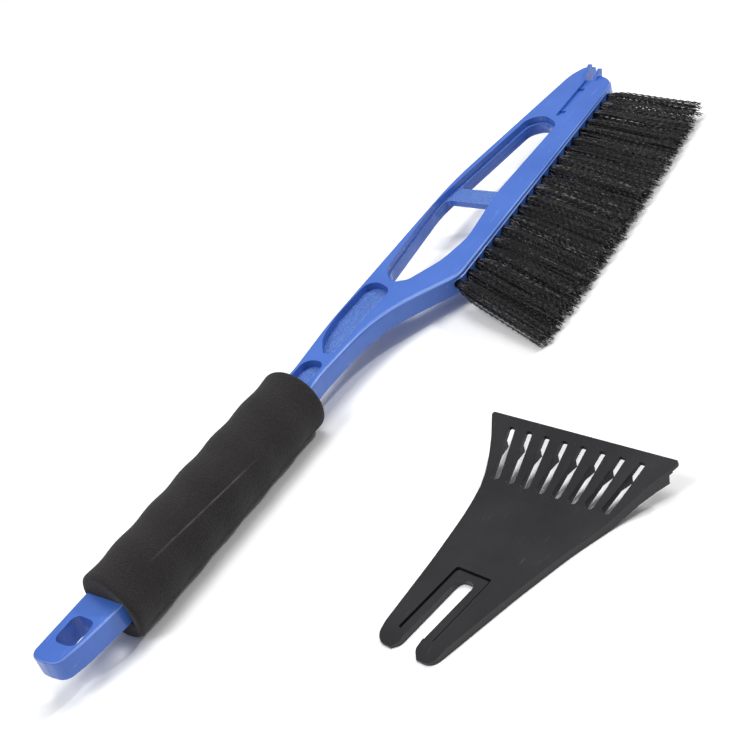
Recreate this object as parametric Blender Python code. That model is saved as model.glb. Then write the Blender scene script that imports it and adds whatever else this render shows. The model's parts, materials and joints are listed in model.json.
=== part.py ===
"""Snow broom with a foam grip, and the ice scraper that plugs onto the tip of its head.

The broom is drawn along its own X axis: the handle's end is at X = 0, the head's tip at the far end,
the bristles point to -Y and the two flat faces look along +Z and -Z.  It then lies down on the floor,
on its round grip and on the tips of its bristles, and the loose scraper lies beside it.
Lengths below are in millimetres and become metres through MM, and angles are in degrees.
"""

import math

import bmesh
import bpy
from mathutils import Matrix, Vector

MM = 0.001

# Frame: one moulding, with its handle, neck and head in one flat outline
FRAME_THICKNESS = 10.4
FRAME_HALF = FRAME_THICKNESS / 2
WEB_THICKNESS = 3.0
HANDLE_HALF_WIDTH = 10.4
HANDLE_EDGE_RADIUS = 1.0
HEAD_EDGE_RADIUS = 1.6
TIP_EDGE_RADIUS = 0.8
HEAD_MIDDLE_X = 300.0
HANDLE_END_X = 40.0
TIP_X = 456.4

# Rail: the straight front edge of the head, which holds the tufts
RAIL_START = Vector((257.5, -32.6))
RAIL_END = Vector((441.5, -26.1))
LEDGE_Z = (3.0, 4.1)
LEDGE_STEP = 0.45
LEDGE_SLOPE = 0.3
LEDGE_FADE = 5.0

# Mouth: the grooves and the notch at the tip, where the scraper's fork slides on
MOUTH_Y = -11.1
MOUTH_SLOPE = 0.025
MOUTH_WIDTH = 4.5
NOTCH_WIDTH = 5.6
MOUTH_START_X = 402.5
NOTCH_START_X = 443.5
MOUTH_END_ROUND = 1.2
GROOVE_DEPTH = 1.6
FIN_THICKNESS = 1.7
FIN_START_X = 440.0
BACK_FIN_RISE = 4.0
FRONT_FIN_RISE = 3.2
DETENT_X = (409.5, 433.5)
DETENT_SIZE = (2.4, 2.8, 1.1)

# Grip: a foam tube with finger waves, pushed over the handle
GRIP_START_X = 34.0
GRIP_END_X = 163.5
GRIP_RADIUS = 16.0
GRIP_OFFSET_Y = -1.1
GRIP_WAVES = 6
GRIP_WAVE_HEIGHT = 0.3
GRIP_END_ROUND = 2.0
GRIP_CAP_RADIUS = 12.8
GRIP_CAP_BULGE = 0.8
GRIP_CAP_SKEW = 0.2
GRIP_RIM_SKEW = 0.1
GRIP_SKEW_REACH = 30.0
GRIP_SIDES = 24
GRIP_RINGS = 40

# Tufts: bundles of bristle in one row of holes, each pinned by a flat wire anchor
TUFT_COUNT = 20
FIRST_TUFT_X = 431.0
TUFT_PITCH = 9.2
TUFT_ROW_Z = 0.5
HOLE_RADIUS = 2.3
HOLE_DEPTH = 8.0
HOLE_SIDES = 12
TUFT_ROOT_RADIUS = 1.95
TUFT_TIP_HALF_WIDTH = 4.1
TUFT_TIP_HALF_HEIGHT = 4.6
TUFT_SIDES = 12
FIRST_LEAN = -13.0
LAST_LEAN = -25.0
FIRST_TUFT_LENGTH = 58.5
LAST_TUFT_LENGTH = 67.5
ANCHOR_SIZE = (3.7, 1.8, 0.4)

# Scraper: a forked plate that ends in a raised wing with slots and a blade
SCRAPER_LENGTH = 104.2
SCRAPER_THICKNESS = 3.0
SCRAPER_SIDE_REACH = 60.0
WING_START_X = 77.0
WING_BEND_RADIUS = 45.0
BLADE_Z = 13.6
BLADE_EDGE = 0.7
RIB_BOTTOM_Z = 5.8
FLANGE_FRONT_Z = 6.4
FORK_GAP = 8.6
FORK_DEPTH = 33.3
PRONG_SLOPE_X = 5.0
PRONG_NOSE_X = 1.0
PRONG_NOSE_Z = 2.2
FORK_BORDER = 9.0
FORK_BORDER_END_X = 37.2
FORK_BORDER_START_X = 5.0
FORK_BORDER_DEPTH = 0.5
FORK_GROOVE_WIDTH = 0.9
FORK_GROOVE_DEPTH = 1.4
SLOT_COUNT = 8
SLOT_START = Vector((79.0, 7.84))
SLOT_END = Vector((100.2, 9.3))
SLOT_HALF_WIDTHS = (2.35, 1.55)
SCRAPER_PLACE = (56.1, -127.9)
SCRAPER_TURN = -11.9

# Clearance between touching solids, and how finely arcs are drawn: by angle, and by length when shallow
GAP = 0.3
ARC_STEP = math.radians(15)
ARC_STEP_LENGTH = 8.0

COLORS = {
    "frame_blue": ((0.09, 0.20, 0.62, 1.0), 0.32, 0.0),
    "grip_foam": ((0.022, 0.021, 0.022, 1.0), 0.95, 0.0),
    "bristle_black": ((0.012, 0.012, 0.013, 1.0), 0.45, 0.0),
    "anchor_steel": ((0.62, 0.62, 0.60, 1.0), 0.35, 1.0),
    "scraper_black": ((0.040, 0.038, 0.042, 1.0), 0.38, 0.0),
}


# ---------------------------------------------------------------- outlines

def rounded(corners):
    """Points of a closed outline from corners (x, y, radius), each corner drawn as an arc."""
    points = []
    count = len(corners)
    for index, (x, y, radius) in enumerate(corners):
        here = Vector((x, y))
        before = Vector(corners[index - 1][:2]) - here
        after = Vector(corners[(index + 1) % count][:2]) - here
        turn = math.pi - before.angle(after)
        reach = radius * math.tan(turn / 2)
        room = 0.49 * min(before.length, after.length)
        if reach > room:
            radius *= room / reach
            reach = room
        if reach < 1e-6:
            points.append(here)
            continue
        start = here + before.normalized() * reach
        end = here + after.normalized() * reach
        middle = (before.normalized() + after.normalized()).normalized()
        centre = here + middle * (radius / math.cos(turn / 2))
        steps = max(1, math.ceil(turn / ARC_STEP), math.ceil(turn * radius / ARC_STEP_LENGTH))
        first = start - centre
        sweep = first.angle_signed(end - centre)
        for step in range(steps + 1):
            spin = Matrix.Rotation(-sweep * step / steps, 2)
            points.append(centre + spin @ first)
    return points


def counterclockwise(points):
    """The same outline, in counterclockwise order."""
    area = sum(a.cross(b) for a, b in zip(points, points[1:] + points[:1]))
    return points if area > 0 else points[::-1]


def outward_normals(points):
    """Unit normals of a counterclockwise outline, pointing out of it."""
    normals = []
    for index, point in enumerate(points):
        along = points[(index + 1) % len(points)] - points[index - 1]
        normals.append(Vector((along.y, -along.x)).normalized())
    return normals


def fade(value, start, end):
    """A smooth step from 0 at start to 1 at end."""
    t = min(1.0, max(0.0, (value - start) / (end - start)))
    return t * t * (3 - 2 * t)


# ---------------------------------------------------------------- meshes and objects

def material(name):
    """The material of a name in COLORS."""
    found = bpy.data.materials.get(name)
    if found:
        return found
    color, roughness, metallic = COLORS[name]
    made = bpy.data.materials.new(name)
    made.use_nodes = True
    made.diffuse_color = color
    shader = made.node_tree.nodes["Principled BSDF"]
    shader.inputs["Base Color"].default_value = color
    shader.inputs["Roughness"].default_value = roughness
    shader.inputs["Metallic"].default_value = metallic
    return made


def add_object(name, mesh, parent=None):
    """A new object in the scene for a mesh."""
    made = bpy.data.objects.new(name, mesh)
    bpy.context.scene.collection.objects.link(made)
    made.parent = parent
    return made


def finish_mesh(name, bm):
    """A mesh in metres from a bmesh in millimetres, with its faces pointing out."""
    bmesh.ops.scale(bm, vec=(MM, MM, MM), verts=bm.verts)
    bmesh.ops.recalc_face_normals(bm, faces=bm.faces)
    mesh = bpy.data.meshes.new(name)
    bm.to_mesh(mesh)
    bm.free()
    return mesh


def add_loft(bm, rings):
    """A closed solid through rings of points, with a flat face on each end ring."""
    loops = [[bm.verts.new(point) for point in ring] for ring in rings]
    for low, high in zip(loops, loops[1:]):
        for index, vert in enumerate(low):
            after = (index + 1) % len(low)
            bm.faces.new((vert, low[after], high[after], high[index]))
    bm.faces.new(loops[0][::-1])
    bm.faces.new(loops[-1])


def add_prism(bm, outline, low, high):
    """A closed solid over a plan outline, between two heights."""
    add_loft(bm, [[(p.x, p.y, z) for p in outline] for z in (low, high)])


def add_side_prism(bm, profile, low_y, high_y):
    """A closed solid over a side profile of (x, z) points, between two widths."""
    add_loft(bm, [[(x, y, z) for x, z in profile] for y in (low_y, high_y)])


def cutter(name, bm, parent):
    """A hidden object that a Boolean uses."""
    made = add_object(name, finish_mesh(name, bm), parent)
    made.hide_render = True
    made.display_type = "WIRE"
    return made


def add_boolean(target, tool, operation):
    """One Boolean modifier on a target, with the exact solver."""
    modifier = target.modifiers.new(tool.name, "BOOLEAN")
    modifier.operation = operation
    modifier.solver = "EXACT"
    modifier.object = tool


# ---------------------------------------------------------------- frame

def frame_outline():
    """The frame's outline, from the handle's end around the head and back."""
    half = HANDLE_HALF_WIDTH
    return counterclockwise(rounded([
        (0.8, half, 4.0),
        (150.0, half, 200.0),
        (176.0, 9.2, 60.0),
        (211.0, 13.0, 220.0),
        (333.0, 16.6, 250.0),
        (447.0, 3.4, 25.0),
        (TIP_X, -1.6, 4.0),
        (TIP_X, -9.6, 2.6),
        (448.6, -12.4, 2.0),
        (RAIL_END.x, RAIL_END.y, 16.0),
        (RAIL_START.x, RAIL_START.y, 14.0),
        (221.5, -8.6, 105.0),
        (176.0, -7.0, 60.0),
        (152.0, -half, 40.0),
        (42.0, -half, 40.0),
        (31.0, -10.0, 40.0),
        (12.0, -7.7, 30.0),
        (1.4, -5.0, 5.5),
        (0.0, 2.5, 25.0),
    ]))


def long_pocket():
    """The head's long pocket, whose floor holds both windows."""
    return counterclockwise(rounded([
        (245.9, -0.8, 4.0),
        (255.7, 8.2, 12.0),
        (315.2, 14.6, 75.0),
        (397.0, 5.2, 8.0),
        (402.9, -2.7, 8.0),
        (394.6, -15.2, 8.5),
        (326.2, -15.2, 75.0),
        (286.9, -20.6, 35.0),
        (267.0, -17.2, 30.0),
        (249.5, -8.6, 6.0),
    ]))


def pockets():
    """Outlines of the recesses in each face, from the grip to the tip."""
    near_grip = rounded([(145.0, 6.0, 3.0), (184.6, 7.2, 6.0), (184.4, -4.4, 4.5), (145.0, -4.6, 3.0)])
    in_neck = rounded([
        (190.0, 1.0, 2.0),
        (199.0, 8.4, 40.0),
        (216.0, 11.6, 60.0),
        (247.0, 11.4, 7.0),
        (241.0, -4.4, 7.0),
        (190.2, -4.6, 2.5),
    ])
    return [counterclockwise(near_grip), counterclockwise(in_neck), long_pocket()]


def windows():
    """Outlines of the through openings: the handle's hanging hole and the head's two windows."""
    hanging = rounded([(9.5, 6.1, 3.6), (23.7, 6.1, 3.6), (23.4, -5.8, 3.8), (9.9, -5.5, 3.6)])
    lower = rounded([
        (248.8, 0.1, 2.5),
        (255.9, 7.5, 10.0),
        (313.3, 13.5, 65.0),
        (321.3, 12.6, 2.2),
        (320.4, -14.2, 2.0),
        (287.0, -19.2, 35.0),
        (268.0, -15.8, 30.0),
        (252.0, -7.8, 5.0),
    ])
    upper = rounded([
        (332.8, 11.2, 2.2),
        (395.2, 4.1, 7.0),
        (401.0, -2.6, 7.0),
        (393.6, -13.9, 7.5),
        (332.6, -13.9, 2.2),
    ])
    return [counterclockwise(outline) for outline in (hanging, lower, upper)]


def rail_y(x):
    """The rail's front edge at a place along the broom."""
    share = (x - RAIL_START.x) / (RAIL_END.x - RAIL_START.x)
    return RAIL_START.y + share * (RAIL_END.y - RAIL_START.y)


def ledge_share(point):
    """How far the bristle strip stands out at an outline point, from 0 to 1."""
    if point.y > rail_y(point.x) + 3.0:
        return 0.0
    return fade(point.x, RAIL_START.x - LEDGE_FADE, RAIL_START.x + LEDGE_FADE)


def edge_radius(x):
    """The radius of the frame's long edges: fine on the handle and the tip, fuller in between."""
    handle = fade(x, HANDLE_END_X, 2 * HANDLE_END_X)
    tip = fade(x, HEAD_MIDDLE_X, FIRST_TUFT_X)
    fuller = handle * (HEAD_EDGE_RADIUS - HANDLE_EDGE_RADIUS)
    return HANDLE_EDGE_RADIUS + fuller + tip * (TIP_EDGE_RADIUS - HEAD_EDGE_RADIUS)


def frame_rings(outline):
    """Rings of the frame from its lower to its upper face, with round edges and the rail's ledge."""
    normals = outward_normals(outline)
    quarter = [math.radians(angle) for angle in (0, 30, 60, 90)]

    def ring(angle, side, stands_out):
        points = []
        for point, normal in zip(outline, normals):
            radius = edge_radius(point.x)
            shift = stands_out * LEDGE_STEP * ledge_share(point) - radius * (1 - math.sin(angle))
            place = point + normal * shift
            height = side * (FRAME_HALF - radius * (1 - math.cos(angle)))
            points.append((place.x, place.y, height))
        return points

    def ledge_ring(drop, stands_out):
        points = []
        for point, normal in zip(outline, normals):
            place = point + normal * (stands_out * LEDGE_STEP * ledge_share(point))
            along = fade(point.x, HEAD_MIDDLE_X, FIRST_TUFT_X)
            height = LEDGE_Z[0] + along * (LEDGE_Z[1] - LEDGE_Z[0]) - drop
            points.append((place.x, place.y, height))
        return points

    lower = [ring(angle, -1, 1) for angle in quarter]
    ledge = [ledge_ring(LEDGE_SLOPE, 1), ledge_ring(0.0, 0)]
    upper = [ring(angle, 1, 0) for angle in reversed(quarter)]
    return lower + ledge + upper


def follow_mouth(bm):
    """Leans what was drawn straight along X, so that it follows the mouth."""
    for vert in bm.verts:
        vert.co.y += MOUTH_SLOPE * (vert.co.x - NOTCH_START_X)


def add_fins(bm):
    """Guide fins beside the mouth on both faces, rising towards the tip."""
    half = NOTCH_WIDTH / 2
    sides = (
        (MOUTH_Y + half - 0.5, MOUTH_Y + half + FIN_THICKNESS, TIP_X - 3.2, BACK_FIN_RISE),
        (MOUTH_Y - half - FIN_THICKNESS, MOUTH_Y - half + 0.5, TIP_X - 6.4, FRONT_FIN_RISE),
    )
    for low_y, high_y, end_x, rise in sides:
        for side in (1, -1):
            profile = [
                (FIN_START_X, side * FRAME_HALF),
                (end_x - 1.5, side * (FRAME_HALF + rise)),
                (end_x, side * (FRAME_HALF + rise - 0.8)),
                (end_x - 2.5, side * 0.8),
                (FIN_START_X, side * 0.8),
            ]
            add_side_prism(bm, profile, low_y, high_y)
    follow_mouth(bm)


def add_detents(bm):
    """Small ramps on each groove's floor, which hold the scraper's fork."""
    length, width, height = DETENT_SIZE
    floor = FRAME_HALF - GROOVE_DEPTH
    back = MOUTH_Y + MOUTH_WIDTH / 2 + 0.4
    for x in DETENT_X:
        for side in (1, -1):
            profile = [
                (x - length / 2, side * (floor - 0.8)),
                (x - length / 2, side * (floor + height)),
                (x + length / 2, side * floor),
                (x + length / 2, side * (floor - 0.8)),
            ]
            add_side_prism(bm, profile, back - width, back)
    follow_mouth(bm)


def mouth_outline(start_x, end_x, width):
    """A long narrow outline centred on the mouth, with a round near end."""
    half = width / 2
    return counterclockwise(rounded([
        (start_x, MOUTH_Y + half, MOUTH_END_ROUND),
        (end_x, MOUTH_Y + half, 0.0),
        (end_x, MOUTH_Y - half, 0.0),
        (start_x, MOUTH_Y - half, MOUTH_END_ROUND),
    ]))


def make_frame(parent):
    """The blue moulding: handle, neck, head, mouth and the rail with its tuft holes."""
    bm = bmesh.new()
    add_loft(bm, frame_rings(frame_outline()))
    frame = add_object("broom_frame", finish_mesh("broom_frame", bm), parent)
    frame.data.materials.append(material("frame_blue"))

    bm = bmesh.new()
    add_fins(bm)
    add_boolean(frame, cutter("fin_tool", bm, parent), "UNION")

    bm = bmesh.new()
    for outline in pockets():
        add_prism(bm, outline, WEB_THICKNESS / 2, FRAME_THICKNESS)
        add_prism(bm, outline, -FRAME_THICKNESS, -WEB_THICKNESS / 2)
    add_boolean(frame, cutter("pocket_tool", bm, parent), "DIFFERENCE")

    bm = bmesh.new()
    for outline in windows():
        add_prism(bm, outline, -2 * FRAME_THICKNESS, 2 * FRAME_THICKNESS)
    add_boolean(frame, cutter("window_tool", bm, parent), "DIFFERENCE")

    bm = bmesh.new()
    notch = mouth_outline(NOTCH_START_X, TIP_X + 10.0, NOTCH_WIDTH)
    add_prism(bm, notch, -2 * FRAME_THICKNESS, 2 * FRAME_THICKNESS)
    follow_mouth(bm)
    add_boolean(frame, cutter("notch_tool", bm, parent), "DIFFERENCE")

    bm = bmesh.new()
    groove = mouth_outline(MOUTH_START_X, NOTCH_START_X + 3.0, MOUTH_WIDTH)
    floor = FRAME_HALF - GROOVE_DEPTH
    add_prism(bm, groove, floor, 2 * FRAME_THICKNESS + 1.0)
    add_prism(bm, groove, -2 * FRAME_THICKNESS - 1.0, -floor)
    follow_mouth(bm)
    add_boolean(frame, cutter("groove_tool", bm, parent), "DIFFERENCE")

    bm = bmesh.new()
    add_detents(bm)
    add_boolean(frame, cutter("detent_tool", bm, parent), "UNION")

    bm = bmesh.new()
    for index in range(TUFT_COUNT):
        root, along, across = tuft_place(index)
        add_tube(bm, root, along, across, HOLE_SIDES, [
            (-HOLE_DEPTH, HOLE_RADIUS, HOLE_RADIUS),
            (3.0, HOLE_RADIUS, HOLE_RADIUS),
        ])
    add_boolean(frame, cutter("hole_tool", bm, parent), "DIFFERENCE")
    return frame


# ---------------------------------------------------------------- tufts and anchors

def tuft_place(index):
    """Where a tuft leaves the rail, its direction, and the direction across it in the broom's plane."""
    x = FIRST_TUFT_X - index * TUFT_PITCH
    share = index / (TUFT_COUNT - 1)
    lean = math.radians(FIRST_LEAN + share * (LAST_LEAN - FIRST_LEAN))
    root = Vector((x, rail_y(x) - LEDGE_STEP, TUFT_ROW_Z))
    along = Vector((math.sin(lean), -math.cos(lean), 0.0))
    across = Vector((math.cos(lean), math.sin(lean), 0.0))
    return root, along, across


def tuft_length(index):
    """How far a tuft stands out: the row's tips lie on a shallow curve."""
    share = index / (TUFT_COUNT - 1)
    return LAST_TUFT_LENGTH - (1 - share) ** 2 * (LAST_TUFT_LENGTH - FIRST_TUFT_LENGTH)


def add_tube(bm, root, along, across, sides, sections):
    """A straight solid along a direction, through sections of (distance, half width, half height)."""
    rings = []
    for distance, half_width, half_height in sections:
        ring = []
        for step in range(sides):
            angle = 2 * math.pi * (step + 0.5) / sides
            place = root + along * distance + across * (half_width * math.cos(angle))
            ring.append(place + Vector((0.0, 0.0, half_height * math.sin(angle))))
        rings.append(ring)
    add_loft(bm, rings)


def make_tuft(index, parent):
    """One bundle of bristle, folded over its anchor at the bottom of its hole."""
    root, along, across = tuft_place(index)
    length = tuft_length(index)
    name = f"bristle_tuft_{index + 1:02d}"
    bm = bmesh.new()
    add_tube(bm, root, along, across, TUFT_SIDES, [
        (GAP - HOLE_DEPTH, TUFT_ROOT_RADIUS, TUFT_ROOT_RADIUS),
        (0.5, TUFT_ROOT_RADIUS, TUFT_ROOT_RADIUS),
        (0.35 * length, 0.72 * TUFT_TIP_HALF_WIDTH, 0.85 * TUFT_TIP_HALF_HEIGHT),
        (length, TUFT_TIP_HALF_WIDTH, TUFT_TIP_HALF_HEIGHT),
    ])
    tuft = add_object(name, finish_mesh(name, bm), parent)
    tuft.data.materials.append(material("bristle_black"))

    height, thickness = ANCHOR_SIZE[1:]
    bm = bmesh.new()
    add_plate(bm, root, along, across, 2 * TUFT_ROOT_RADIUS + 1.0, thickness / 2 + GAP,
              -HOLE_DEPTH - 1.0, GAP - HOLE_DEPTH + height + 2 * GAP)
    add_boolean(tuft, cutter(f"fold_tool_{index + 1:02d}", bm, parent), "DIFFERENCE")
    return tuft


def add_plate(bm, root, along, across, width, half_thickness, start, end):
    """A flat plate that lies across a hole, between two distances along it."""
    rings = []
    for distance in (start, end):
        centre = root + along * distance
        side = across * (width / 2)
        lift = Vector((0.0, 0.0, half_thickness))
        rings.append([centre - side - lift, centre + side - lift, centre + side + lift, centre - side + lift])
    add_loft(bm, rings)


def make_anchor(index, parent):
    """The flat wire that pins one tuft at the bottom of its hole."""
    root, along, across = tuft_place(index)
    width, height, thickness = ANCHOR_SIZE
    name = f"tuft_anchor_{index + 1:02d}"
    bm = bmesh.new()
    add_plate(bm, root, along, across, width, thickness / 2, GAP - HOLE_DEPTH, GAP - HOLE_DEPTH + height)
    anchor = add_object(name, finish_mesh(name, bm), parent)
    anchor.data.materials.append(material("anchor_steel"))
    return anchor


# ---------------------------------------------------------------- grip

def grip_radius(x):
    """The foam's outer radius along the handle, with its finger waves and round ends."""
    share = (x - GRIP_START_X) / (GRIP_END_X - GRIP_START_X)
    wave = GRIP_WAVE_HEIGHT * math.cos(2 * math.pi * GRIP_WAVES * share)
    from_end = min(x - GRIP_START_X, GRIP_END_X - x)
    missing = max(0.0, 1.0 - from_end / GRIP_END_ROUND)
    return GRIP_RADIUS + wave - GRIP_END_ROUND * (1 - math.sqrt(1 - missing * missing))


def grip_ring(x, radius, skew):
    """One ring of the foam; the tube sags to one side at its near end, and a skewed ring lies aslant."""
    centre = GRIP_OFFSET_Y * min(1.0, (GRIP_END_X - x) / (GRIP_END_X - GRIP_START_X))
    ring = []
    for side in range(GRIP_SIDES):
        angle = 2 * math.pi * side / GRIP_SIDES
        across = radius * math.cos(angle)
        ring.append((x + skew * across, centre + across, radius * math.sin(angle)))
    return ring


def make_grip(parent):
    """The foam tube, with a flat-sided bore that fits the handle."""
    half_y = HANDLE_HALF_WIDTH + GAP
    half_z = FRAME_HALF + GAP
    length = GRIP_END_X - GRIP_START_X
    ends = [0.0, 0.3, 1.0, GRIP_END_ROUND]
    spacing = (length - 2 * GRIP_END_ROUND) / GRIP_RINGS
    inner = [GRIP_END_ROUND + spacing * step for step in range(1, GRIP_RINGS)]
    places = ends + inner + [length - place for place in reversed(ends)]
    rings = [grip_ring(GRIP_START_X - GRIP_CAP_BULGE, GRIP_CAP_RADIUS, GRIP_CAP_SKEW)]
    for place in places:
        x = GRIP_START_X + place
        skew = GRIP_RIM_SKEW * max(0.0, 1.0 - place / GRIP_SKEW_REACH) ** 2
        rings.append(grip_ring(x, grip_radius(x), skew))
    bm = bmesh.new()
    add_loft(bm, rings)
    grip = add_object("foam_grip", finish_mesh("foam_grip", bm), parent)
    grip.data.materials.append(material("grip_foam"))

    bm = bmesh.new()
    bore = [(GRIP_START_X - 5.0, half_y), (GRIP_END_X + 5.0, half_y),
            (GRIP_END_X + 5.0, -half_y), (GRIP_START_X - 5.0, -half_y)]
    add_prism(bm, [Vector(point) for point in bore], -half_z, half_z)
    add_boolean(grip, cutter("bore_tool", bm, parent), "DIFFERENCE")
    return grip


# ---------------------------------------------------------------- scraper

def scraper_outline():
    """The scraper's outline seen from above, with its fork still closed."""
    side = [
        (-2.4, 14.6, 5.0),
        (36.0, 21.3, 200.0),
        (60.0, 26.6, 120.0),
        (78.0, 32.4, 60.0),
        (91.5, 38.4, 40.0),
        (SCRAPER_LENGTH, 47.0, 1.0),
    ]
    mirrored = [(x, -y, radius) for x, y, radius in reversed(side)]
    return counterclockwise(rounded(side + mirrored))


def scraper_top(x):
    """The height of the scraper's upper surface."""
    if x <= WING_START_X:
        return SCRAPER_THICKNESS
    share = (x - WING_START_X) / (SCRAPER_LENGTH - WING_START_X)
    return SCRAPER_THICKNESS + share * (BLADE_Z - SCRAPER_THICKNESS)


def slot_outline(index):
    """One slot of the wing, which widens towards the handle and fans out with its neighbours."""
    place = index - (SLOT_COUNT - 1) / 2
    start = Vector((SLOT_START.x, place * SLOT_START.y))
    end = Vector((SLOT_END.x, place * SLOT_END.y))
    side = Vector((0.0, 1.0))
    low, high = SLOT_HALF_WIDTHS
    return counterclockwise(rounded([
        (*(start - side * low), 1.6),
        (*(end - side * high), 0.6),
        (*(end + side * high), 0.6),
        (*(start + side * low), 1.6),
    ]))


def border_outline(start, inset):
    """The border round the fork, from a distance along the prongs, drawn in by an inset."""
    half = FORK_BORDER - inset
    end = FORK_BORDER_END_X - inset
    return counterclockwise(rounded([
        (start, half, 0.8),
        (end, half, 1.2),
        (end, -half, 1.2),
        (start, -half, 0.8),
    ]))


def make_scraper(parent):
    """The black scraper: fork, plate, raised wing with slots, side flanges and blade."""
    tall = 3 * BLADE_Z
    outline = scraper_outline()
    flange_front = SCRAPER_LENGTH - 5.2
    bm = bmesh.new()
    add_prism(bm, outline, -tall, tall)
    scraper = add_object("ice_scraper", finish_mesh("ice_scraper", bm), parent)
    scraper.data.materials.append(material("scraper_black"))

    side_profile = rounded([
        (-5.0, 0.0, 0.0),
        (WING_START_X - 2.0, 0.0, 0.0),
        (WING_START_X + 6.0, 2.0, 0.0),
        (WING_START_X + 15.0, 4.6, 0.0),
        (flange_front, FLANGE_FRONT_Z, 0.0),
        (flange_front + 0.6, FLANGE_FRONT_Z + 3.4, 0.0),
        (SCRAPER_LENGTH + 5.0, BLADE_Z - BLADE_EDGE + 1.8, 0.0),
        (SCRAPER_LENGTH + 5.0, scraper_top(SCRAPER_LENGTH + 5.0), 0.0),
        (WING_START_X, SCRAPER_THICKNESS, WING_BEND_RADIUS),
        (PRONG_SLOPE_X, SCRAPER_THICKNESS, 0.0),
        (PRONG_NOSE_X, PRONG_NOSE_Z, 0.0),
    ])
    bm = bmesh.new()
    add_side_prism(bm, [tuple(point) for point in side_profile], -SCRAPER_SIDE_REACH, SCRAPER_SIDE_REACH)
    add_boolean(scraper, cutter("profile_tool", bm, parent), "INTERSECT")

    # The hollow under the wing keeps the ribs between the slots and a flange on each side
    hollow_profile = [
        (WING_START_X + 1.0, -5.0),
        (WING_START_X + 3.5, 1.6),
        (WING_START_X + 13.0, RIB_BOTTOM_Z),
        (SLOT_END.x - 5.0, RIB_BOTTOM_Z),
        (SLOT_END.x - 4.4, scraper_top(SLOT_END.x - 4.4) - 1.8),
        (SCRAPER_LENGTH + 1.0, BLADE_Z - BLADE_EDGE),
        (SCRAPER_LENGTH + 9.0, BLADE_Z - BLADE_EDGE),
        (SCRAPER_LENGTH + 9.0, -5.0),
    ]
    inner = [(WING_START_X - 8.0, 29.0), (80.0, 30.2), (91.5, 35.4), (SCRAPER_LENGTH - 3.4, 42.0),
             (SCRAPER_LENGTH - 3.0, SCRAPER_SIDE_REACH),
             (SCRAPER_LENGTH + 20.0, SCRAPER_SIDE_REACH)]
    inner_outline = [Vector(p) for p in inner] + [Vector((x, -y)) for x, y in reversed(inner)]
    bm = bmesh.new()
    add_prism(bm, counterclockwise(inner_outline), -tall, tall)
    hollow = cutter("hollow_tool", bm, parent)
    bm = bmesh.new()
    add_side_prism(bm, hollow_profile, -SCRAPER_SIDE_REACH, SCRAPER_SIDE_REACH)
    add_boolean(hollow, cutter("hollow_profile_tool", bm, parent), "INTERSECT")
    add_boolean(scraper, hollow, "DIFFERENCE")

    # Relief under the plate leaves a rim, as on any moulded plate
    relief = [(43.0, 19.6, 4.0), (62.0, 24.3, 120.0), (73.0, 27.4, 3.0)]
    mirrored = [(x, -y, radius) for x, y, radius in reversed(relief)]
    bm = bmesh.new()
    add_prism(bm, counterclockwise(rounded(relief + mirrored)), -5.0, 1.2)
    add_boolean(scraper, cutter("relief_tool", bm, parent), "DIFFERENCE")

    # A groove runs round the fork, and the border inside it is a little lower than the plate
    half = FORK_GAP / 2
    bm = bmesh.new()
    add_prism(bm, border_outline(FORK_BORDER_START_X, 0.0), SCRAPER_THICKNESS - FORK_GROOVE_DEPTH, tall)
    groove = cutter("groove_tool", bm, parent)
    bm = bmesh.new()
    add_prism(bm, border_outline(-SCRAPER_LENGTH, FORK_GROOVE_WIDTH), -tall, 2 * tall)
    add_boolean(groove, cutter("groove_middle_tool", bm, parent), "DIFFERENCE")
    add_boolean(scraper, groove, "DIFFERENCE")
    bm = bmesh.new()
    border = border_outline(FORK_BORDER_START_X, FORK_GROOVE_WIDTH / 2)
    add_prism(bm, border, SCRAPER_THICKNESS - FORK_BORDER_DEPTH, tall)
    add_boolean(scraper, cutter("border_tool", bm, parent), "DIFFERENCE")

    fork = rounded([
        (-8.0, half + 8.0, 0.0),
        (0.4, half - 0.1, 3.0),
        (FORK_DEPTH, half, 2.8),
        (FORK_DEPTH, -half, 2.8),
        (0.4, -half + 0.1, 3.0),
        (-8.0, -half - 8.0, 0.0),
    ])
    bm = bmesh.new()
    add_prism(bm, counterclockwise(fork), -tall, tall)
    for index in range(SLOT_COUNT):
        add_prism(bm, slot_outline(index), -tall, tall)
    add_boolean(scraper, cutter("slot_tool", bm, parent), "DIFFERENCE")
    return scraper


# ---------------------------------------------------------------- assembly

def rest_roll():
    """How far the broom rolls on its grip until the longest tuft's tip touches the floor."""
    last = TUFT_COUNT - 1
    root, along, across = tuft_place(last)
    tip = root + along * tuft_length(last) - across * TUFT_TIP_HALF_WIDTH
    drop = GRIP_RADIUS + GRIP_WAVE_HEIGHT + TUFT_ROW_Z - TUFT_TIP_HALF_HEIGHT
    return math.asin(drop / -tip.y)


def shade(objects):
    """Smooth shading with sharp edges where faces meet at a clear angle."""
    for one in objects:
        one.data.shade_smooth()
        one.data.set_sharp_from_angle(angle=math.radians(32))


def box_of(objects):
    """The lowest and highest corners of some objects in world space."""
    depsgraph = bpy.context.evaluated_depsgraph_get()
    points = []
    for one in objects:
        evaluated = one.evaluated_get(depsgraph)
        mesh = evaluated.to_mesh()
        points += [evaluated.matrix_world @ vert.co for vert in mesh.vertices]
        evaluated.to_mesh_clear()
    low = Vector([min(point[axis] for point in points) for axis in range(3)])
    high = Vector([max(point[axis] for point in points) for axis in range(3)])
    return low, high


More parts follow.
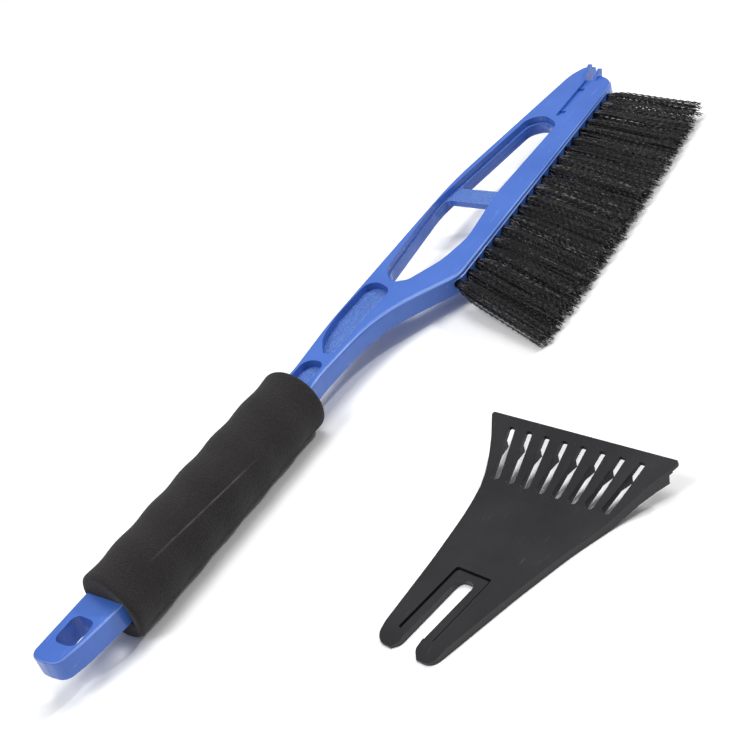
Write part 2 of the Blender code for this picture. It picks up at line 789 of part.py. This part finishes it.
def build():
    """Makes the broom and the scraper, lays them on the floor and centres them on the origin."""
    for old in list(bpy.data.objects):
        bpy.data.objects.remove(old, do_unlink=True)

    broom_axis = add_object("broom_axis", None)
    scraper_axis = add_object("scraper_axis", None)
    broom = [make_frame(broom_axis), make_grip(broom_axis)]
    for index in range(TUFT_COUNT):
        broom.append(make_tuft(index, broom_axis))
        broom.append(make_anchor(index, broom_axis))
    scraper = [make_scraper(scraper_axis)]
    shade(broom + scraper)

    rest_height = (GRIP_RADIUS + GRIP_WAVE_HEIGHT) * MM
    lifted = Matrix.Translation((0.0, 0.0, rest_height))
    broom_axis.matrix_world = lifted @ Matrix.Rotation(rest_roll(), 4, "X")
    scraper_axis.location = Vector((*SCRAPER_PLACE, 0.0)) * MM
    scraper_axis.rotation_euler.z = math.radians(SCRAPER_TURN)
    bpy.context.view_layer.update()

    low, high = box_of(broom + scraper)
    shift = Vector(((low.x + high.x) / 2, (low.y + high.y) / 2, low.z))
    broom_axis.matrix_world = Matrix.Translation(-shift) @ broom_axis.matrix_world
    scraper_axis.location -= shift
    bpy.context.view_layer.update()


build()
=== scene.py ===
"""The snow broom and its loose ice scraper, dressed for a studio picture.

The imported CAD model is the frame. The plastic mouldings keep their CAD shape and get detailed plastics,
the foam sleeve is rebuilt with a finer surface, and every tuft is rebuilt as a bundle of crimped filaments.
Lengths are in millimetres until MM turns them into metres.
"""

import json
import math
import random

import bpy
from mathutils import Matrix, Vector


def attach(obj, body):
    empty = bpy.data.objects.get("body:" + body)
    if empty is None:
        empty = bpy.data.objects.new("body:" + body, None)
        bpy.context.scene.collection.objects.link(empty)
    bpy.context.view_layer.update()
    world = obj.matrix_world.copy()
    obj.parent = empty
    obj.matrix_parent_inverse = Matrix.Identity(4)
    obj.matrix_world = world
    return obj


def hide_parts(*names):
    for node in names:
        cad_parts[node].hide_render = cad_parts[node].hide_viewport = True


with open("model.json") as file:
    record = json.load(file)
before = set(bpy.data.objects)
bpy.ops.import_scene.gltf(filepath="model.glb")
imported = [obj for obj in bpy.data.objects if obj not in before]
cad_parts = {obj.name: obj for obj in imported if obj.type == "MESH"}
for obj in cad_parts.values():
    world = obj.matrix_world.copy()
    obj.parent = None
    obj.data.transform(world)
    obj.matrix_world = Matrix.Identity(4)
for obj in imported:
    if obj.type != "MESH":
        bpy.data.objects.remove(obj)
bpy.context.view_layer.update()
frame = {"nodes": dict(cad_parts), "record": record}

MM = 0.001

# Where the head_face mount lies on the broom, in the broom's own plan.
FACE_MOUNT_X = 300.0
FACE_MOUNT_Y = -24.0
FRAME_HALF = 5.2
WEB_HALF = 1.5

# Foam sleeve.
GRIP_START_X = 34.0
GRIP_END_X = 163.5
GRIP_RADIUS = 16.0
GRIP_OFFSET_Y = -1.1
GRIP_WAVES = 6
GRIP_WAVE_HEIGHT = 0.3
GRIP_END_ROUND = 2.0
GRIP_RIM_SKEW = 0.1
GRIP_SKEW_REACH = 30.0
GRIP_SIDES = 120
GRIP_RINGS = 150
GRIP_CAP_RINGS = 6
GRIP_END_RINGS = 6
BORE_HALF_Y = 10.7
BORE_HALF_Z = 5.5
NO_DIVISION_BY_ZERO = 1e-6
CREASE_START = (57.0, -12.6, 11.3)
CREASE_END = (113.5, -14.8, 7.6)
CREASE_HALF_WIDTH = 0.55
CREASE_FADE = 9.0
CREASE_RISE = 2.0

# Bristles.
MIDDLE_SECTION = 0.35
FILAMENTS = 74
FILAMENT_RADIUS = 0.22
FILAMENT_SIDES = 3
FILAMENT_STEPS = 62
ROOT_RADIUS = 1.7
ROOT_DEPTH = 2.5
CRIMP_LENGTH = 4.2
CRIMP_HEIGHT = 0.36
CRIMP_START_LENGTH = 6.0
STRAY_ACROSS = 1.1
STRAY_UP = 0.6
REACH_SHARES = (0.972, 1.0)
TIP_HALF_WIDTH = 4.9
FAN_LENGTH = 5.5
TIP_HALF_HEIGHT = 4.4
TUFT_ROUGH_DIRECTION = (-0.3, -1.0, 0.0)
MIDDLE_BAND = (0.2, 0.6)
TIP_BAND = 0.9
FLOOR_GAP = 0.3
BRISTLE_SEED = 20

# Colours, as linear red, green and blue.
BLUE_DEEP = (0.047, 0.128, 0.475)
BLUE_LIGHT = (0.062, 0.158, 0.545)
# Lighter blue of the painted glints on the recessed web's grain.
BLUE_SPARKLE = (0.165, 0.300, 0.680)
# Lighter blue for the scuffs and for the painted highlight along the rounded edges.
BLUE_SCUFF_AND_HIGHLIGHT = (0.26, 0.40, 0.80)
BLACK_DEEP = (0.006, 0.0055, 0.0075)
BLACK_LIGHT = (0.012, 0.011, 0.0145)
BLACK_WORN = (0.085, 0.083, 0.088)
FOAM_DEEP = (0.010, 0.0088, 0.0094)
FOAM_LIGHT = (0.018, 0.0162, 0.0170)
# Painted shade inside the foam's pores.
FOAM_PORE_SHADE = (0.006, 0.006, 0.006)
FOAM_NAP = (0.034, 0.031, 0.032)
FOAM_WORN = (0.055, 0.052, 0.053)
FOAM_CREASE = (0.105, 0.100, 0.100)
NYLON_DEEP = (0.003, 0.0028, 0.003)
NYLON_LIGHT = (0.014, 0.0135, 0.014)
# Pale grey of the painted glints on the filaments.
NYLON_GLINT = (0.25, 0.235, 0.225)
NYLON_DUST = (0.16, 0.15, 0.15)
STEEL_DARK = (0.42, 0.42, 0.43)
STEEL_LIGHT = (0.66, 0.66, 0.67)

# Materials. The noise range that a cloudy change of tone spans, and how far above the recessed web,
# in millimetres, its grain is still full and is gone.
CLOUD_RANGE = (0.3, 0.7)
GRAIN_FULL = 0.2
GRAIN_NONE = 0.7

# Camera.
VIEW_AZIMUTH = -41.97
VIEW_ELEVATION = 29.49
VIEW_ROLL = -25.68
VIEW_TARGET = (-0.02623, 0.0773, 0.0001)
VIEW_DISTANCE = 0.6374
VIEW_LENS = 66.34
SENSOR_WIDTH = 36.0

# Studio. Each light: name, azimuth, elevation, distance, size, power.
FLOOR_RADIUS = 12.0
FLOOR_SIDES = 96
FLOOR_COLOUR = (0.93, 0.93, 0.93)
HORIZON_STRENGTH = 0.3
ZENITH_STRENGTH = 0.5
LIGHTS = (
    ("key", -112.0, 60.0, 3.2, 1.4, 43.0),
    ("back", 80.0, 72.0, 3.0, 1.6, 36.0),
    ("edge", 50.0, 38.0, 2.4, 0.24, 20.0),
)


# ---------------------------------------------------------------- the broom's own axes

def broom_axes():
    """The matrix that takes the broom's own plan, in millimetres, to the row frame."""
    mount = next(one for one in frame["record"]["mounts"] if one["name"] == "head_face")
    up = Vector(mount["axis"]).normalized()
    along = Vector((1.0, 0.0, 0.0))
    across = up.cross(along)
    face = Vector(mount["pos_m"])
    origin = face - (along * FACE_MOUNT_X + across * FACE_MOUNT_Y + up * FRAME_HALF) * MM
    axes = Matrix((along, across, up)).transposed().to_4x4()
    return Matrix.Translation(origin) @ axes @ Matrix.Scale(MM, 4)


BROOM = broom_axes()


# ---------------------------------------------------------------- material helpers

class Shader:
    """A material's node tree, with short ways to add and join nodes."""

    def __init__(self, name):
        self.material = bpy.data.materials.new(name)
        self.material.use_nodes = True
        self.tree = self.material.node_tree
        self.surface = self.tree.nodes["Principled BSDF"]
        self.place = self.add("ShaderNodeTexCoord").outputs["Object"]

    def add(self, kind, **settings):
        node = self.tree.nodes.new(kind)
        for key, value in settings.items():
            setattr(node, key, value)
        return node

    def join(self, source, target):
        self.tree.links.new(source, target)

    def set(self, **values):
        """Sets the surface's own sockets, with spaces written as underscores."""
        for key, value in values.items():
            self.surface.inputs[key.replace("_", " ")].default_value = value

    def stretched(self, scale):
        node = self.add("ShaderNodeMapping")
        node.inputs["Scale"].default_value = scale
        self.join(self.place, node.inputs["Vector"])
        return node.outputs["Vector"]

    def noise(self, scale, detail=3.0, roughness=0.55, place=None):
        node = self.add("ShaderNodeTexNoise")
        node.inputs["Scale"].default_value = scale
        node.inputs["Detail"].default_value = detail
        node.inputs["Roughness"].default_value = roughness
        self.join(place or self.place, node.inputs["Vector"])
        return node.outputs["Fac"]

    def cells(self, scale, place=None):
        node = self.add("ShaderNodeTexVoronoi")
        node.inputs["Scale"].default_value = scale
        self.join(place or self.place, node.inputs["Vector"])
        return node.outputs["Distance"]

    def between(self, value, low, high, start, end):
        """Maps low..high of a value to start..end, without running past either."""
        node = self.add("ShaderNodeMapRange")
        for key, number in zip(("From Min", "From Max", "To Min", "To Max"), (low, high, start, end)):
            node.inputs[key].default_value = number
        self.join(value, node.inputs["Value"])
        return node.outputs["Result"]

    def maths(self, operation, first, second):
        node = self.add("ShaderNodeMath", operation=operation)
        for socket, value in zip(node.inputs, (first, second)):
            if isinstance(value, (int, float)):
                socket.default_value = value
            else:
                self.join(value, socket)
        return node.outputs["Value"]

    def blended(self, share, first, second):
        """A colour between two colours, or between a colour and another blend."""
        node = self.add("ShaderNodeMix", data_type="RGBA")
        self.join(share, node.inputs["Factor"])
        for key, colour in (("A", first), ("B", second)):
            socket = next(one for one in node.inputs if one.name == key and one.type == "RGBA")
            if isinstance(colour, tuple):
                socket.default_value = (*colour, 1.0)
            else:
                self.join(colour, socket)
        return next(one for one in node.outputs if one.type == "RGBA")

    def bump(self, height, distance, strength=1.0, under=None):
        node = self.add("ShaderNodeBump")
        node.inputs["Strength"].default_value = strength
        node.inputs["Distance"].default_value = distance
        self.join(height, node.inputs["Height"])
        if under is not None:
            self.join(under, node.inputs["Normal"])
        return node.outputs["Normal"]

    def along(self, direction, vector=None):
        """How far a point, or another vector, reaches along a direction."""
        node = self.add("ShaderNodeVectorMath", operation="DOT_PRODUCT")
        self.join(vector or self.place, node.inputs[0])
        node.inputs[1].default_value = direction
        return node.outputs["Value"]

    def off_plane(self, point, direction):
        """How far a point lies from a plane, on either side of it, in metres."""
        aside = self.maths("SUBTRACT", self.along(direction), point.dot(direction))
        return self.maths("ABSOLUTE", aside, 0.0)


# ---------------------------------------------------------------- materials

def blue_plastic():
    """Glossy moulded plastic: rim and rail are polished, the recessed web has a fine spark-eroded grain with
    painted glints, and the rounded edges carry a painted highlight besides light scuffs.
    """
    shader = Shader("blue_plastic")
    middle = BROOM.translation
    normal = BROOM.col[2].to_3d().normalized()
    depth = shader.off_plane(middle, normal)
    low = shader.between(depth, (WEB_HALF + GRAIN_FULL) * MM, (WEB_HALF + GRAIN_NONE) * MM, 1.0, 0.0)
    facing = shader.along(normal, shader.add("ShaderNodeNewGeometry").outputs["True Normal"])
    level = shader.between(shader.maths("ABSOLUTE", facing, 0.0), 0.85, 0.95, 0.0, 1.0)
    recessed = shader.maths("MULTIPLY", low, level)
    smooth_facing = shader.along(normal, shader.add("ShaderNodeNewGeometry").outputs["Normal"])
    slope = shader.maths("ABSOLUTE", smooth_facing, 0.0)
    rim = shader.maths(
        "MULTIPLY",
        shader.between(slope, 0.30, 0.50, 0.0, 1.0),
        shader.between(slope, 0.80, 0.94, 1.0, 0.0),
    )
    cloud = shader.noise(22.0, 4.0)
    speck = shader.noise(1100.0, 2.0)
    colour = shader.blended(shader.between(cloud, *CLOUD_RANGE, 0.0, 1.0), BLUE_DEEP, BLUE_LIGHT)
    # Painted glints: specks on the recessed web's grain turn a lighter blue.
    sparkle = shader.between(speck, 0.45, 0.70, 0.15, 0.85)
    glinted = shader.blended(shader.maths("MULTIPLY", recessed, sparkle), colour, BLUE_SPARKLE)
    scuff = shader.noise(60.0, 6.0, 0.7, shader.stretched((1.0, 7.0, 7.0)))
    # Painted highlight: the rounded edges between the flat faces and the side walls turn a lighter blue, on top of
    # the real scuffs.
    rim_highlight = shader.maths("MULTIPLY", rim, shader.between(cloud, 0.35, 0.65, 0.35, 0.75))
    paler_marks = shader.maths("MAXIMUM", shader.between(scuff, 0.60, 0.72, 0.0, 0.25), rim_highlight)
    shader.join(shader.blended(paler_marks, glinted, BLUE_SCUFF_AND_HIGHLIGHT), shader.surface.inputs["Base Color"])
    gloss = shader.between(cloud, *CLOUD_RANGE, 0.16, 0.25)
    rough = shader.maths("ADD", gloss, shader.maths("MULTIPLY", recessed, 0.22))
    rough = shader.maths("ADD", rough, shader.maths("MULTIPLY", paler_marks, 0.05))
    shader.join(rough, shader.surface.inputs["Roughness"])
    ripple = shader.bump(shader.noise(70.0, 2.0), 0.25 * MM, 0.35)
    grain = shader.maths("MULTIPLY", speck, recessed)
    shader.join(shader.bump(grain, 1.4 * MM, 1.0, ripple), shader.surface.inputs["Normal"])
    shader.set(Specular_IOR_Level=0.5, IOR=1.49)
    return shader.material


def black_plastic():
    """Satin black moulded plastic with flow marks, fine grain and light scuffs."""
    shader = Shader("black_plastic")
    cloud = shader.noise(30.0, 5.0)
    scuff = shader.noise(140.0, 5.0, 0.7, shader.stretched((1.0, 5.0, 1.0)))
    colour = shader.blended(shader.between(cloud, *CLOUD_RANGE, 0.0, 1.0), BLACK_DEEP, BLACK_LIGHT)
    paler_marks = shader.between(scuff, 0.62, 0.74, 0.0, 0.35)
    shader.join(shader.blended(paler_marks, colour, BLACK_WORN), shader.surface.inputs["Base Color"])
    gloss = shader.between(cloud, *CLOUD_RANGE, 0.30, 0.44)
    rough = shader.maths("ADD", gloss, shader.maths("MULTIPLY", paler_marks, 0.4))
    shader.join(rough, shader.surface.inputs["Roughness"])
    flow = shader.bump(shader.noise(45.0, 3.0), 0.5 * MM, 0.4)
    shader.join(shader.bump(shader.noise(1500.0, 2.0), 0.12 * MM, 0.6, flow), shader.surface.inputs["Normal"])
    shader.set(Specular_IOR_Level=0.5, IOR=1.5)
    return shader.material


def crease_mask(shader):
    """A faint pressed line that runs aslant along the upper side of the sleeve."""
    start = BROOM @ Vector(CREASE_START)
    end = BROOM @ Vector(CREASE_END)
    run = (end - start).normalized()
    middle = Vector(CREASE_START) + Vector(CREASE_END)
    outward = (BROOM.to_3x3() @ Vector((0.0, middle.y, middle.z))).normalized()
    across = run.cross(outward).normalized()
    near = shader.between(shader.off_plane(start, across), 0.0, CREASE_HALF_WIDTH * MM, 1.0, 0.0)
    reach = shader.along(run)
    inside = shader.maths(
        "MULTIPLY",
        shader.between(reach, start.dot(run) - CREASE_FADE * MM, start.dot(run) + CREASE_FADE * MM, 0.0, 1.0),
        shader.between(reach, end.dot(run) - CREASE_FADE * MM, end.dot(run) + CREASE_FADE * MM, 1.0, 0.0),
    )
    level = BROOM.translation.dot(outward)
    above = shader.between(shader.along(outward), level, level + CREASE_RISE * MM, 0.0, 1.0)
    broken = shader.between(shader.noise(160.0, 3.0), 0.35, 0.60, 0.2, 0.8)
    return shader.maths("MULTIPLY", shader.maths("MULTIPLY", near, inside), shader.maths("MULTIPLY", above, broken))


def sleeve_foam():
    """Closed-cell foam: open pores with painted shade in them, a soft nap and faint pale rub lines."""
    shader = Shader("sleeve_foam")
    pores = shader.cells(1500.0)
    cloud = shader.noise(45.0, 5.0, 0.6)
    colour = shader.blended(shader.between(cloud, *CLOUD_RANGE, 0.0, 1.0), FOAM_DEEP, FOAM_LIGHT)
    # Painted shade: the pore cells are darkened towards their middles.
    pore_shade = shader.between(pores, 0.05, 0.30, 0.55, 0.0)
    pore_shaded = shader.blended(pore_shade, colour, FOAM_PORE_SHADE)
    nap = shader.between(shader.noise(1700.0, 2.0), 0.35, 0.70, 0.0, 0.55)
    grained = shader.blended(nap, pore_shaded, FOAM_NAP)
    streaks = shader.noise(50.0, 6.0, 0.65, shader.stretched((0.35, 4.0, 4.0)))
    rubbed = shader.between(streaks, 0.62, 0.78, 0.0, 0.4)
    paler_marks = shader.blended(rubbed, grained, FOAM_WORN)
    crease = crease_mask(shader)
    shader.join(shader.blended(crease, paler_marks, FOAM_CREASE), shader.surface.inputs["Base Color"])
    shader.join(shader.between(cloud, *CLOUD_RANGE, 0.84, 0.96), shader.surface.inputs["Roughness"])
    dents = shader.bump(shader.noise(90.0, 4.0, 0.6), 1.1 * MM, 0.55)
    cells = shader.bump(shader.between(pores, 0.0, 0.5, 0.0, 1.0), 0.28 * MM, 0.9, dents)
    shader.join(cells, shader.surface.inputs["Normal"])
    shader.set(Specular_IOR_Level=0.12, Sheen_Weight=0.08, Sheen_Roughness=0.6)
    return shader.material


def bristle_nylon():
    """Black nylon filament with painted glints on short stretches and near the root, paler dusty stretches and a
    satin gloss.
    """
    shader = Shader("bristle_nylon")
    tone = shader.add("ShaderNodeAttribute", attribute_name="tone").outputs["Fac"]
    streak = shader.noise(420.0, 2.0)
    base = shader.blended(tone, NYLON_DEEP, NYLON_LIGHT)
    rise = shader.add("ShaderNodeAttribute", attribute_name="rise").outputs["Fac"]
    # Painted glints: short stretches of a few filaments turn pale grey.
    patch = shader.between(shader.noise(330.0, 1.0), 0.50, 0.62, 0.0, 0.85)
    strand_glint = shader.maths("MULTIPLY", shader.between(tone, 0.91, 0.95, 0.0, 1.0), patch)
    # More painted glints: pale grey marks a little way out from the root.
    near_root = shader.maths(
        "MULTIPLY",
        shader.between(rise, 0.01, 0.04, 0.0, 1.0),
        shader.between(rise, 0.07, 0.13, 1.0, 0.0),
    )
    root_glint = shader.maths("MULTIPLY", near_root, shader.between(tone, 0.72, 0.78, 0.0, 0.55))
    pale = shader.maths("MAXIMUM", strand_glint, root_glint)
    mixed = shader.blended(pale, base, NYLON_GLINT)
    dusty = shader.between(streak, 0.60, 0.72, 0.0, 0.3)
    shader.join(shader.blended(dusty, mixed, NYLON_DUST), shader.surface.inputs["Base Color"])
    shader.join(shader.between(streak, 0.3, 0.7, 0.16, 0.30), shader.surface.inputs["Roughness"])
    shader.join(shader.bump(shader.noise(2500.0, 2.0), 0.05 * MM, 0.5), shader.surface.inputs["Normal"])
    shader.set(Specular_IOR_Level=0.6, IOR=1.53)
    return shader.material


def anchor_wire():
    """Drawn steel wire, brushed along its length."""
    shader = Shader("anchor_wire")
    lines = shader.noise(900.0, 3.0, 0.6, shader.stretched((0.2, 4.0, 4.0)))
    shader.join(shader.blended(lines, STEEL_DARK, STEEL_LIGHT), shader.surface.inputs["Base Color"])
    shader.join(shader.between(lines, 0.3, 0.7, 0.25, 0.45), shader.surface.inputs["Roughness"])
    shader.join(shader.bump(lines, 0.05 * MM, 0.5), shader.surface.inputs["Normal"])
    shader.set(Metallic=1.0)
    return shader.material


def paint(node, material):
    """Gives a CAD node a better material in place of its plain one."""
    for slot in node.material_slots:
        slot.material = material


# ---------------------------------------------------------------- pieces

def add_piece(name, points, faces, material):
    """A smooth-shaded mesh object in the row frame."""
    mesh = bpy.data.meshes.new(name)
    mesh.from_pydata([tuple(point) for point in points], [], faces)
    mesh.update()
    mesh.shade_smooth()
    mesh.materials.append(material)
    piece = bpy.data.objects.new(name, mesh)
    bpy.context.scene.collection.objects.link(piece)
    return piece


def grip_radius(x):
    """The foam's outer radius along the handle, with its finger waves and round ends."""
    share = (x - GRIP_START_X) / (GRIP_END_X - GRIP_START_X)
    wave = GRIP_WAVE_HEIGHT * math.cos(2 * math.pi * GRIP_WAVES * share)
    from_end = min(x - GRIP_START_X, GRIP_END_X - x)
    missing = max(0.0, 1.0 - from_end / GRIP_END_ROUND)
    return GRIP_RADIUS + wave - GRIP_END_ROUND * (1 - math.sqrt(1 - missing * missing))


def grip_point(x, radius, angle, skew):
    """A point of the sleeve, which sags to one side towards its near end."""
    centre = GRIP_OFFSET_Y * min(1.0, (GRIP_END_X - x) / (GRIP_END_X - GRIP_START_X))
    across = radius * math.cos(angle)
    return Vector((x + skew * across, centre + across, radius * math.sin(angle)))


def bore_point(x, angle):
    """A point on the wall of the flat-sided bore, in the same direction from the middle."""
    across = max(abs(math.cos(angle)), NO_DIVISION_BY_ZERO)
    above = max(abs(math.sin(angle)), NO_DIVISION_BY_ZERO)
    reach = min(BORE_HALF_Y / across, BORE_HALF_Z / above)
    return Vector((x, reach * math.cos(angle), reach * math.sin(angle)))


def make_sleeve(material):
    """The foam sleeve: its outside, both end faces and the bore, as one closed skin."""
    length = GRIP_END_X - GRIP_START_X
    ends = [GRIP_END_ROUND * (1 - math.cos(math.pi / 2 * step / GRIP_END_RINGS))
            for step in range(GRIP_END_RINGS)]
    inner_length = length - 2 * GRIP_END_ROUND
    inner = [GRIP_END_ROUND + inner_length * step / GRIP_RINGS for step in range(GRIP_RINGS + 1)]
    places = ends + inner + [length - place for place in reversed(ends)]
    angles = [2 * math.pi * side / GRIP_SIDES for side in range(GRIP_SIDES)]

    rings = []
    for place in places:
        x = GRIP_START_X + place
        skew = GRIP_RIM_SKEW * max(0.0, 1.0 - place / GRIP_SKEW_REACH) ** 2
        rings.append([grip_point(x, grip_radius(x), angle, skew) for angle in angles])
    rim_near = rings[0]
    rim_far = rings[-1]
    for step in range(1, GRIP_CAP_RINGS + 1):
        share = step / GRIP_CAP_RINGS
        rings.append([rim.lerp(bore_point(GRIP_END_X, angle), share) for rim, angle in zip(rim_far, angles)])
    for step in range(GRIP_CAP_RINGS, 0, -1):
        share = step / GRIP_CAP_RINGS
        rings.append([rim.lerp(bore_point(GRIP_START_X, angle), share) for rim, angle in zip(rim_near, angles)])

    points = [BROOM @ point for ring in rings for point in ring]
    faces = []
    for ring in range(len(rings)):
        after = (ring + 1) % len(rings)
        for side in range(GRIP_SIDES):
            turn = (side + 1) % GRIP_SIDES
            faces.append((ring * GRIP_SIDES + side, after * GRIP_SIDES + side,
                          after * GRIP_SIDES + turn, ring * GRIP_SIDES + turn))
    faces = [tuple(reversed(face)) for face in faces]
    sleeve = add_piece("foam_sleeve", points, faces, material)
    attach(sleeve, "broom")
    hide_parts("foam_grip")
    return sleeve


def tuft_axis(name):
    """Root, direction and length of a CAD tuft, worked out from its middle and tip sections."""
    rough = BROOM.to_3x3() @ Vector(TUFT_ROUGH_DIRECTION)
    rough.normalize()
    points = [vert.co.copy() for vert in frame["nodes"][name].data.vertices]
    reaches = [point.dot(rough) for point in points]
    start = min(reaches)
    span = max(reaches) - start
    middle = section_centre(points, reaches, start + MIDDLE_BAND[0] * span, start + MIDDLE_BAND[1] * span)
    tip = section_centre(points, reaches, start + TIP_BAND * span, start + 2 * span)
    direction = (tip - middle).normalized()
    length = (tip - middle).length / (1 - MIDDLE_SECTION)
    return tip - direction * length, direction, length


def section_centre(points, reaches, low, high):
    """The middle of the points that lie between two distances along a tuft."""
    inside = [point for point, reach in zip(points, reaches) if low < reach < high]
    near = {tuple(round(value, 6) for value in point) for point in inside}
    return sum((Vector(point) for point in near), Vector()) / len(near)


def make_filament(root, direction, length, across, up, draw):
    """The centre line of one crimped filament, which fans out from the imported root."""
    angle = draw.uniform(0.0, 2 * math.pi)
    spread = math.sqrt(draw.random())
    aside = spread * math.cos(angle)
    above = spread * math.sin(angle)
    stray_aside = draw.gauss(0.0, STRAY_ACROSS)
    stray_above = draw.gauss(0.0, STRAY_UP)
    crimp_angle = draw.uniform(0.0, math.pi)
    crimp_phase = draw.uniform(0.0, 2 * math.pi)
    reach = length / MM * draw.uniform(*REACH_SHARES)
    line = []
    for step in range(FILAMENT_STEPS + 1):
        share = step / FILAMENT_STEPS
        out = share * (reach + ROOT_DEPTH) - ROOT_DEPTH
        open_share = 1.0 - math.exp(-max(0.0, out) / FAN_LENGTH)
        bend_share = max(0.0, out / reach) ** 2
        wide = ROOT_RADIUS + (TIP_HALF_WIDTH - ROOT_RADIUS) * open_share
        tall = ROOT_RADIUS + (TIP_HALF_HEIGHT - ROOT_RADIUS) * open_share
        crimp_share = min(1.0, max(0.0, out) / CRIMP_START_LENGTH)
        crimp_turn = 2 * math.pi * out / CRIMP_LENGTH + crimp_phase
        crimp = CRIMP_HEIGHT * crimp_share * math.sin(crimp_turn)
        side = aside * wide + stray_aside * bend_share + crimp * math.cos(crimp_angle)
        lift = above * tall + stray_above * bend_share + crimp * math.sin(crimp_angle)
        point = root + (direction * out + across * side + up * lift) * MM
        point.z = max(point.z, FLOOR_GAP * MM)
        line.append(point)
    return line


def add_thread(points, faces, line, radius):
    """A thin closed tube along a line, with a flat face at each end."""
    first = len(points)
    for step, centre in enumerate(line):
        before = line[max(0, step - 1)]
        after = line[min(len(line) - 1, step + 1)]
        along = (after - before).normalized()
        one = along.cross(Vector((0.0, 0.0, 1.0))).normalized()
        two = along.cross(one)
        for side in range(FILAMENT_SIDES):
            angle = 2 * math.pi * side / FILAMENT_SIDES
            points.append(centre + (one * math.cos(angle) + two * math.sin(angle)) * radius)
    for step in range(len(line) - 1):
        for side in range(FILAMENT_SIDES):
            turn = (side + 1) % FILAMENT_SIDES
            low = first + step * FILAMENT_SIDES
            high = low + FILAMENT_SIDES
            faces.append((low + side, low + turn, high + turn, high + side))
    last = len(points) - FILAMENT_SIDES
    faces.append(tuple(range(last, last + FILAMENT_SIDES)))
    faces.append(tuple(first + side for side in reversed(range(FILAMENT_SIDES))))


def make_bundle(number, material, draw):
    """All the filaments of one tuft, as one piece."""
    name = f"bristle_tuft_{number:02d}"
    root, direction, length = tuft_axis(name)
    up = BROOM.col[2].to_3d().normalized()
    across = up.cross(direction).normalized()
    points = []
    faces = []
    tones = []
    rises = []
    for filament in range(FILAMENTS):
        line = make_filament(root, direction, length, across, up, draw)
        before = len(points)
        add_thread(points, faces, line, FILAMENT_RADIUS * MM)
        tones += [draw.random()] * (len(points) - before)
        rises += [(point - root).dot(direction) / length for point in points[before:]]
    bundle = add_piece(f"bristles_{number:02d}", points, faces, material)
    for key, values in (("tone", tones), ("rise", rises)):
        bundle.data.attributes.new(key, "FLOAT", "POINT").data.foreach_set("value", values)
    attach(bundle, "broom")
    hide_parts(name)


# ---------------------------------------------------------------- studio

def make_floor():
    """A plain pale floor far larger than the object."""
    material = bpy.data.materials.new("studio_floor")
    material.use_nodes = True
    surface = material.node_tree.nodes["Principled BSDF"]
    surface.inputs["Base Color"].default_value = (*FLOOR_COLOUR, 1.0)
    surface.inputs["Roughness"].default_value = 0.9
    angles = [2 * math.pi * side / FLOOR_SIDES for side in range(FLOOR_SIDES)]
    edge = [(FLOOR_RADIUS * math.cos(angle), FLOOR_RADIUS * math.sin(angle), 0.0) for angle in angles]
    floor = add_piece("studio_floor", edge, [tuple(range(FLOOR_SIDES))], material)


def aim(item, target, roll=0.0):
    """Turns a camera or light at a point, with its own roll."""
    item.rotation_euler = (item.location - Vector(target)).to_track_quat("Z", "Y").to_euler()
    item.rotation_euler = (item.rotation_euler.to_matrix() @ Matrix.Rotation(roll, 3, "Z")).to_euler()


def make_light(name, azimuth, elevation, distance, size, power):
    """A large soft area light aimed at the object from a direction."""
    light = bpy.data.lights.new(name, "AREA")
    light.shape = "DISK"
    light.size = size
    light.energy = power
    item = bpy.data.objects.new(name, light)
    item.location = Vector(VIEW_TARGET) + direction_from(azimuth, elevation) * distance
    aim(item, VIEW_TARGET)
    bpy.context.scene.collection.objects.link(item)


def direction_from(azimuth, elevation):
    """The unit vector towards a viewpoint; azimuth 0 looks along +Y."""
    turn = math.radians(azimuth)
    rise = math.radians(elevation)
    return Vector((math.sin(turn) * math.cos(rise), -math.cos(turn) * math.cos(rise), math.sin(rise)))


def make_camera():
    """The camera at the picture's viewing angle."""
    lens = bpy.data.cameras.new("view")
    lens.lens = VIEW_LENS
    lens.sensor_width = SENSOR_WIDTH
    lens.clip_start = 0.01
    camera = bpy.data.objects.new("view", lens)
    camera.location = Vector(VIEW_TARGET) + direction_from(VIEW_AZIMUTH, VIEW_ELEVATION) * VIEW_DISTANCE
    aim(camera, VIEW_TARGET, math.radians(VIEW_ROLL))
    bpy.context.scene.collection.objects.link(camera)
    bpy.context.scene.camera = camera


def make_world():
    """White surroundings that are bright overhead and dimmer towards the horizon."""
    world = bpy.data.worlds.new("studio")
    world.use_nodes = True
    nodes = world.node_tree.nodes
    place = nodes.new("ShaderNodeTexCoord")
    parts = nodes.new("ShaderNodeSeparateXYZ")
    rise = nodes.new("ShaderNodeMapRange")
    rise.inputs["To Min"].default_value = HORIZON_STRENGTH
    rise.inputs["To Max"].default_value = ZENITH_STRENGTH
    world.node_tree.links.new(place.outputs["Generated"], parts.inputs["Vector"])
    world.node_tree.links.new(parts.outputs["Z"], rise.inputs["Value"])
    world.node_tree.links.new(rise.outputs["Result"], nodes["Background"].inputs["Strength"])
    nodes["Background"].inputs["Color"].default_value = (1.0, 1.0, 1.0, 1.0)
    bpy.context.scene.world = world


make_camera()
make_world()
make_floor()
for light in LIGHTS:
    make_light(*light)
bpy.context.scene.view_settings.view_transform = "Standard"

paint(frame["nodes"]["broom_frame"], blue_plastic())
paint(frame["nodes"]["ice_scraper"], black_plastic())
wire = anchor_wire()
nylon = bristle_nylon()
draw = random.Random(BRISTLE_SEED)
make_sleeve(sleeve_foam())
tuft_names = sorted(name for name in frame["nodes"] if name.startswith("bristle_tuft_"))
for number in range(1, len(tuft_names) + 1):
    make_bundle(number, nylon, draw)
    paint(frame["nodes"][f"tuft_anchor_{number:02d}"], wire)
